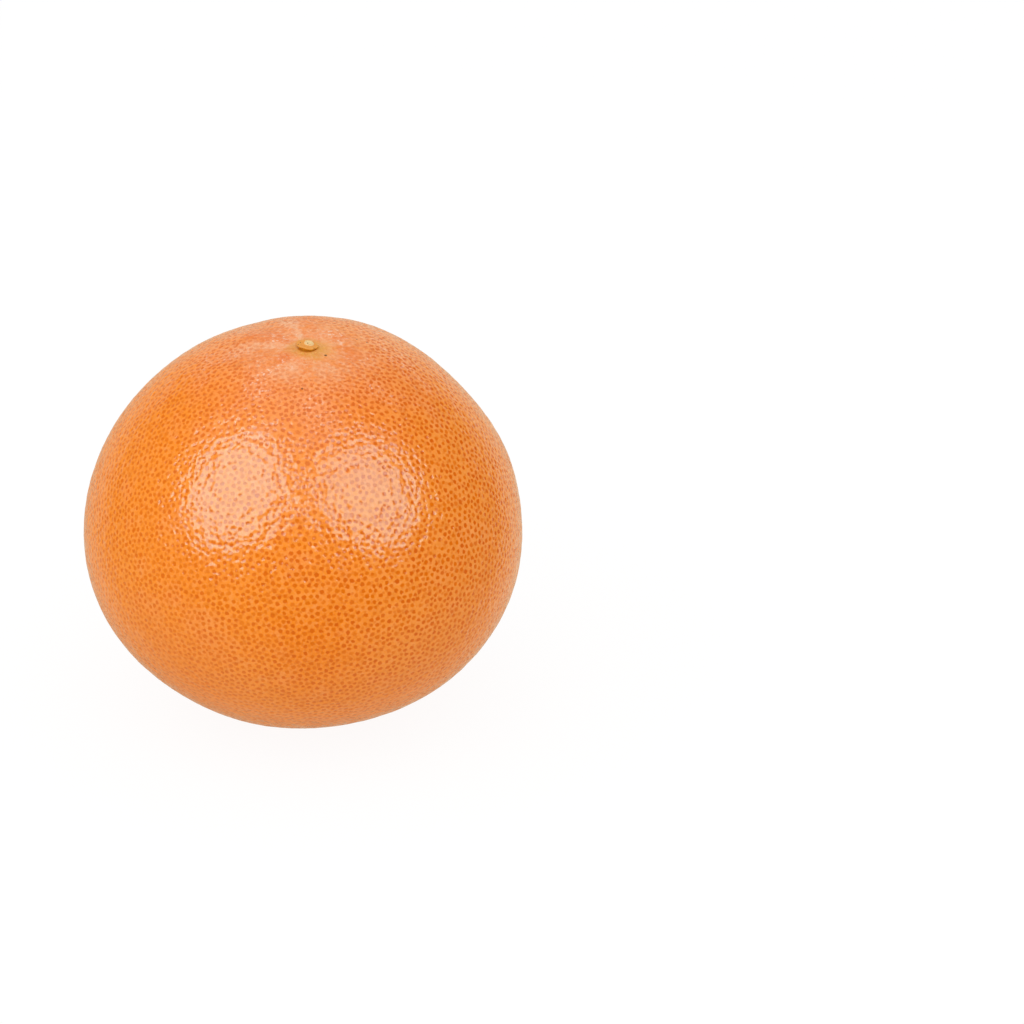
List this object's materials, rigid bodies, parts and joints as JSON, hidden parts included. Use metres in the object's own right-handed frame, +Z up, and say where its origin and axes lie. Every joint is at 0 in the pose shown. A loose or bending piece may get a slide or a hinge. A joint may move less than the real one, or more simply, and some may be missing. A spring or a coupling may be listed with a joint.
{
  "type": "whole pomelo of the grapefruit kind",
  "caption": "Whole round citrus fruit with a pitted waxy rind, a furrowed stem end with its woody button, and a small flat spot underneath to rest on.",
  "frame": {"origin": "middle of the flat spot on the blossom end, where the fruit touches the table", "axes": "+Z up along the core from the blossom end to the stem end; -Y is the side that faces the camera and +X is its right"},
  "size_m": [0.1097, 0.1097, 0.0994],
  "materials": {
    "rind": "waxy satin citrus rind, orange with darker oil glands and a pink blush",
    "stem_end": "dry calyx, tan to ochre, with a cream torn stalk"
  },
  "bodies": {
    "root": {"fruit": "rind", "stem_button": "stem_end"}
  },
  "joints": []
}
